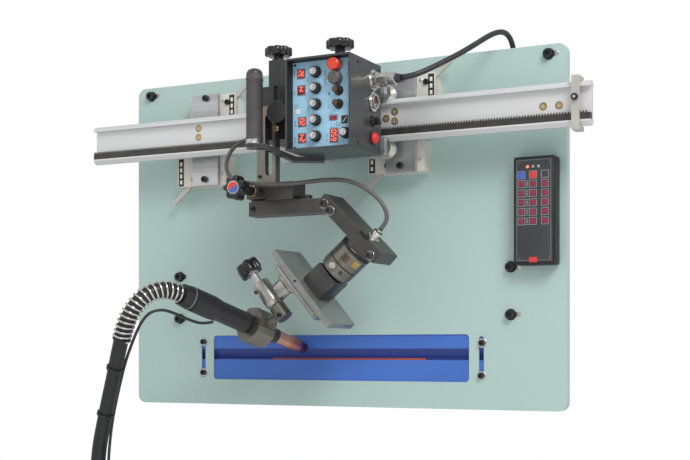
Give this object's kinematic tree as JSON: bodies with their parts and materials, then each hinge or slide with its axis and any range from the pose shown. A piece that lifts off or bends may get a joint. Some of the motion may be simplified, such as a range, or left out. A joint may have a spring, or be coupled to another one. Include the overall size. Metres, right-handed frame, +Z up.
{
  "type": "rail-guided welding carriage",
  "caption": "Welding carriage with a torch and weaving unit on a toothed rail, set over a joint in a steel panel.",
  "frame": {"origin": "centre of the lower four studs, on the plane that the stand-off sleeves rest on", "axes": "+Y into the wall, against the way the panel faces; +Z up; +X along the rail to the right as the panel is read"},
  "size_m": [0.957, 0.4259, 1.0654],
  "materials": {
    "panel_paint": "satin",
    "blackened_screws": "satin",
    "zinc_steel": "satin",
    "blue_plate": "satin",
    "bracket_aluminium": "satin",
    "magnet_black": "satin",
    "lever_paint": "satin",
    "rail_aluminium": "satin",
    "rack_steel": "satin",
    "stop_aluminium": "satin",
    "case_black": "satin",
    "face_blue": "satin",
    "knob_black": "matte",
    "red_plastic": "gloss",
    "grey_plastic": "gloss",
    "chrome_parts": "gloss",
    "grip_rubber": "matte",
    "column_steel": "satin",
    "arm_black": "satin",
    "slide_aluminium": "satin",
    "nozzle_copper": "satin",
    "hose_rubber": "matte",
    "lead_jacket": "matte",
    "pendant_black": "matte"
  },
  "bodies": {
    "base": {"back_panel": "panel_paint", "panel_screws": "blackened_screws", "panel_sleeves": "zinc_steel", "work_plates": "blue_plate", "bracket_plates": "bracket_aluminium", "magnet_blocks": "magnet_black", "rail": "rail_aluminium", "rack": "rack_steel", "control_cable": "lead_jacket", "control_coil": "lead_jacket", "control_plug": "chrome_parts"},
    "left_upper_lever": {"left_upper_lever": "lever_paint"},
    "left_lower_lever": {"left_lower_lever": "lever_paint"},
    "right_upper_lever": {"right_upper_lever": "lever_paint"},
    "right_lower_lever": {"right_lower_lever": "lever_paint"},
    "rail_stop": {"rail_stop": "stop_aluminium"},
    "pendant": {"pendant": "pendant_black"},
    "carriage": {"carriage_chassis": "case_black", "control_box": "case_black", "face_plate": "face_blue", "side_fittings": "chrome_parts", "handle_grip": "grip_rubber", "handle_arm": "arm_black", "slide_housing": "arm_black", "oscillator_lead": "lead_jacket"},
    "upper_left_wheel": {"upper_left_wheel": "zinc_steel"},
    "upper_right_wheel": {"upper_right_wheel": "zinc_steel"},
    "lower_left_wheel": {"lower_left_wheel": "zinc_steel"},
    "lower_right_wheel": {"lower_right_wheel": "zinc_steel"},
    "drive_pinion": {"drive_pinion": "rack_steel"},
    "clutch_knob": {"clutch_knob": "knob_black"},
    "height_knob": {"height_knob": "knob_black"},
    "red_button": {"red_button": "red_plastic"},
    "grey_button": {"grey_button": "grey_plastic"},
    "upper_toggle": {"upper_toggle": "column_steel"},
    "lower_toggle": {"lower_toggle": "column_steel"},
    "height_slide": {"slide_column": "column_steel", "clamp_block": "arm_black"},
    "star_knob": {"star_knob": "knob_black"},
    "cross_slide": {"cross_bar": "arm_black", "angled_link": "arm_black"},
    "weaver": {"weaver_barrel": "slide_aluminium", "slide_base": "slide_aluminium"},
    "weave_slide": {"slide_carrier": "slide_aluminium", "torch_holder": "slide_aluminium"},
    "holder_knob": {"holder_knob": "knob_black"},
    "torch": {"torch_clamp": "arm_black", "torch_handle": "hose_rubber", "torch_nozzle": "nozzle_copper", "hose_spring": "chrome_parts", "torch_hose": "hose_rubber", "hose_coil": "hose_rubber", "hose_connector": "chrome_parts", "signal_lead": "lead_jacket"},
    "dial_1": {"dial_knob_1": "knob_black"},
    "dial_2": {"dial_knob_2": "knob_black"},
    "dial_3": {"dial_knob_3": "knob_black"},
    "dial_4": {"dial_knob_4": "knob_black"},
    "dial_5": {"dial_knob_5": "knob_black"},
    "dial_6": {"dial_knob_6": "knob_black"}
  },
  "joints": [
    {"name": "carriage_slide", "type": "slide", "parent": "base", "child": "carriage", "axis": [1, 0, 0], "range_m": [-0.36, 0.2], "deforming": ["control_cable"]},
    {"name": "pinion_spin", "type": "hinge", "parent": "carriage", "child": "drive_pinion", "pos_m": [0.09775, -0.141, 0.28813], "axis": [0, 1, 0], "range_deg": [-1400, 780]},
    {"name": "upper_left_wheel_spin", "type": "hinge", "parent": "carriage", "child": "upper_left_wheel", "pos_m": [0.06775, -0.141, 0.3318], "axis": [0, 1, 0], "range_deg": [-2100, 1200]},
    {"name": "upper_right_wheel_spin", "type": "hinge", "parent": "carriage", "child": "upper_right_wheel", "pos_m": [0.12775, -0.141, 0.3318], "axis": [0, 1, 0], "range_deg": [-2100, 1200]},
    {"name": "lower_left_wheel_spin", "type": "hinge", "parent": "carriage", "child": "lower_left_wheel", "pos_m": [0.06775, -0.141, 0.2412], "axis": [0, 1, 0], "range_deg": [-1200, 2100]},
    {"name": "lower_right_wheel_spin", "type": "hinge", "parent": "carriage", "child": "lower_right_wheel", "pos_m": [0.12775, -0.141, 0.2412], "axis": [0, 1, 0], "range_deg": [-1200, 2100]},
    {"name": "height_slide", "type": "slide", "parent": "carriage", "child": "height_slide", "axis": [0, 0, 1], "range_m": [-0.035, 0.028], "deforming": ["oscillator_lead"]},
    {"name": "height_knob_turn", "type": "hinge", "parent": "carriage", "child": "height_knob", "pos_m": [-0.029, -0.225, 0.392], "axis": [0, 0, 1], "range_deg": [-3200, 2750]},
    {"name": "cross_slide", "type": "slide", "parent": "height_slide", "child": "cross_slide", "axis": [1, 0, 0], "range_m": [-0.02, 0.03]},
    {"name": "star_knob_turn", "type": "hinge", "parent": "height_slide", "child": "star_knob", "pos_m": [-0.063, -0.275, 0.1665], "axis": [0, -1, 0], "range_deg": [0, 180]},
    {"name": "barrel_turn", "type": "hinge", "parent": "cross_slide", "child": "weaver", "pos_m": [0.1198, -0.21, 0.0737], "axis": [-0.766, 0, -0.6428], "range_deg": [-20, 20]},
    {"name": "weave_slide", "type": "slide", "parent": "weaver", "child": "weave_slide", "axis": [0.6428, 0, -0.766], "range_m": [-0.025, 0.025]},
    {"name": "holder_knob_turn", "type": "hinge", "parent": "weave_slide", "child": "holder_knob", "pos_m": [-0.08207, -0.205, 0.0218], "axis": [0.6428, 0, -0.766], "range_deg": [0, 180]},
    {"name": "torch_swivel", "type": "hinge", "parent": "weave_slide", "child": "torch", "pos_m": [-0.03064, -0.205, -0.03948], "axis": [-0.6428, 0, 0.766], "range_deg": [0, 25]},
    {"name": "clutch_knob_turn", "type": "hinge", "parent": "carriage", "child": "clutch_knob", "pos_m": [0.088, -0.227, 0.392], "axis": [0, 0, 1], "range_deg": [0, 180]},
    {"name": "dial_1_turn", "type": "hinge", "parent": "carriage", "child": "dial_1", "pos_m": [0.08575, -0.312, 0.3409], "axis": [0, -1, 0], "range_deg": [-150, 150]},
    {"name": "dial_2_turn", "type": "hinge", "parent": "carriage", "child": "dial_2", "pos_m": [0.08575, -0.312, 0.3156], "axis": [0, -1, 0], "range_deg": [-150, 150]},
    {"name": "dial_3_turn", "type": "hinge", "parent": "carriage", "child": "dial_3", "pos_m": [0.08575, -0.312, 0.2903], "axis": [0, -1, 0], "range_deg": [-150, 150]},
    {"name": "dial_4_turn", "type": "hinge", "parent": "carriage", "child": "dial_4", "pos_m": [0.08575, -0.312, 0.265], "axis": [0, -1, 0], "range_deg": [-150, 150]},
    {"name": "dial_5_turn", "type": "hinge", "parent": "carriage", "child": "dial_5", "pos_m": [0.08575, -0.312, 0.2397], "axis": [0, -1, 0], "range_deg": [-150, 150]},
    {"name": "dial_6_turn", "type": "hinge", "parent": "carriage", "child": "dial_6", "pos_m": [0.13875, -0.312, 0.2412], "axis": [0, -1, 0], "range_deg": [-150, 150]},
    {"name": "red_button_press", "type": "slide", "parent": "carriage", "child": "red_button", "axis": [0, 1, 0], "range_m": [0, 0.003], "stiffness_N_per_m": 400},
    {"name": "grey_button_press", "type": "slide", "parent": "carriage", "child": "grey_button", "axis": [0, 1, 0], "range_m": [0, 0.003], "stiffness_N_per_m": 400},
    {"name": "upper_toggle_tilt", "type": "hinge", "parent": "carriage", "child": "upper_toggle", "pos_m": [0.12575, -0.3123, 0.3085], "axis": [0, 0, 1], "range_deg": [-14, 14]},
    {"name": "lower_toggle_tilt", "type": "hinge", "parent": "carriage", "child": "lower_toggle", "pos_m": [0.12575, -0.3123, 0.2875], "axis": [0, 0, 1], "range_deg": [-14, 14]},
    {"name": "left_upper_lever_turn", "type": "hinge", "parent": "base", "child": "left_upper_lever", "pos_m": [-0.2042, -0.107, 0.3535], "axis": [0, -1, 0], "range_deg": [-90, 0]},
    {"name": "left_lower_lever_turn", "type": "hinge", "parent": "base", "child": "left_lower_lever", "pos_m": [-0.2755, -0.107, 0.2165], "axis": [0, -1, 0], "range_deg": [-90, 0]},
    {"name": "right_upper_lever_turn", "type": "hinge", "parent": "base", "child": "right_upper_lever", "pos_m": [0.1888, -0.107, 0.3535], "axis": [0, -1, 0], "range_deg": [-90, 0]},
    {"name": "right_lower_lever_turn", "type": "hinge", "parent": "base", "child": "right_lower_lever", "pos_m": [0.1175, -0.107, 0.2165], "axis": [0, -1, 0], "range_deg": [-90, 0]},
    {"name": "rail_stop_slide", "type": "slide", "parent": "base", "child": "rail_stop", "axis": [1, 0, 0], "range_m": [-0.09, 0.015]},
    {"name": "pendant_lift", "type": "slide", "parent": "base", "child": "pendant", "axis": [0, -1, 0], "range_m": [0, 0.06]}
  ],
  "couplings": [
    {"joint": "pinion_spin", "follows": "carriage_slide", "rad_per_m": 66.667},
    {"joint": "upper_left_wheel_spin", "follows": "carriage_slide", "rad_per_m": 100},
    {"joint": "upper_right_wheel_spin", "follows": "carriage_slide", "rad_per_m": 100},
    {"joint": "lower_left_wheel_spin", "follows": "carriage_slide", "rad_per_m": -100},
    {"joint": "lower_right_wheel_spin", "follows": "carriage_slide", "rad_per_m": -100},
    {"joint": "height_knob_turn", "follows": "height_slide", "rad_per_m": 1570.8}
  ]
}
